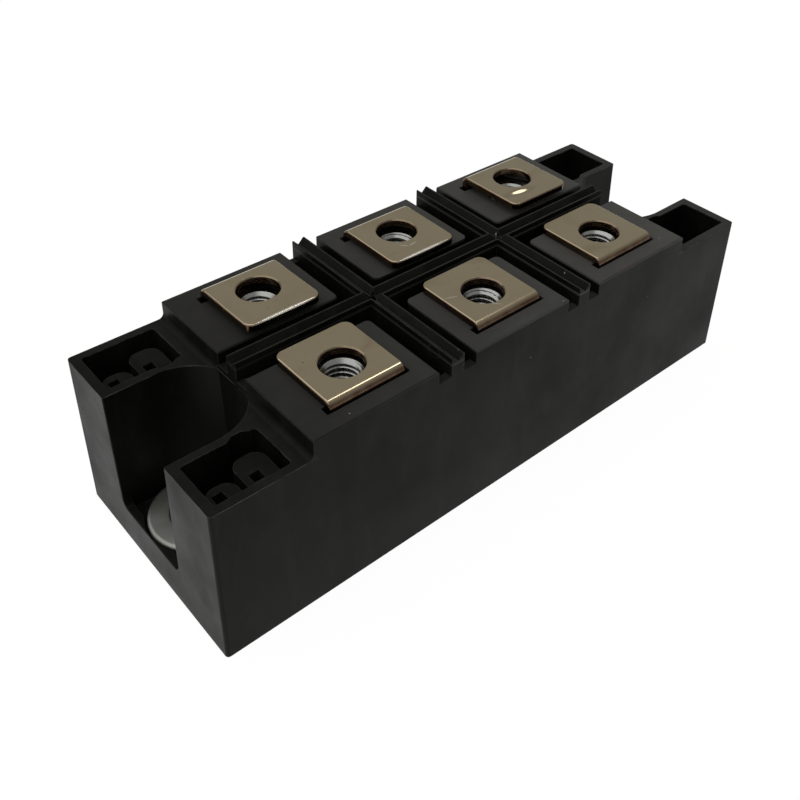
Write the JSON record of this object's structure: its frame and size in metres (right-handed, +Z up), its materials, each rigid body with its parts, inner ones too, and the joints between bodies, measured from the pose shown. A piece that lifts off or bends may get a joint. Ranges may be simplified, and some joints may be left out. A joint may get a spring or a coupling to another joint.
{
  "type": "thyristor module",
  "caption": "Black moulded power module with screw terminals along both long sides, ribs between them, gate sockets and open mounting slots at the ends.",
  "frame": {"origin": "middle of the underside", "axes": "+X along the case toward the far end, +Y toward the back row of terminals, +Z up out of the plates"},
  "size_m": [0.094, 0.034, 0.0287],
  "materials": {
    "case_plastic": "black glass-filled moulding, satin",
    "socket_plastic": "black moulding, satin",
    "plated_copper": "nickel plated, fine ground",
    "terminal_plating": "nickel plated, satin, worn",
    "nut_zinc": "bright zinc plating",
    "bush_steel": "dull zinc plating",
    "contact_tin": "tinned",
    "bare_copper": "bare copper",
    "lead_insulation": "white silicone sleeve",
    "silicon": "polished die with a metal top",
    "substrate_ceramic": "white ceramic with copper pads",
    "silicone_gel": "soft clear gel"
  },
  "bodies": {
    "root": {"housing": "case_plastic", "base_plate": "plated_copper", "mount_bush_near": "bush_steel", "mount_bush_far": "bush_steel", "terminal_front_1": "terminal_plating", "nut_front_1": "nut_zinc", "terminal_front_2": "terminal_plating", "nut_front_2": "nut_zinc", "terminal_front_3": "terminal_plating", "nut_front_3": "nut_zinc", "terminal_back_1": "terminal_plating", "nut_back_1": "nut_zinc", "terminal_back_2": "terminal_plating", "nut_back_2": "nut_zinc", "terminal_back_3": "terminal_plating", "nut_back_3": "nut_zinc", "gate_socket_front_near": "socket_plastic", "contact_gate_front_near": "contact_tin", "lead_gate_front_near": "lead_insulation", "contact_cathode_front_near": "contact_tin", "lead_cathode_front_near": "lead_insulation", "thyristor_chip_front_near": "silicon", "copper_clip_front_near": "bare_copper", "gate_socket_back_near": "socket_plastic", "contact_gate_back_near": "contact_tin", "lead_gate_back_near": "lead_insulation", "contact_cathode_back_near": "contact_tin", "lead_cathode_back_near": "lead_insulation", "thyristor_chip_back_near": "silicon", "copper_clip_back_near": "bare_copper", "substrate_1": "substrate_ceramic", "substrate_2": "substrate_ceramic", "substrate_3": "substrate_ceramic", "middle_link": "bare_copper", "far_link": "bare_copper", "gel_fill": "silicone_gel"}
  },
  "joints": []
}
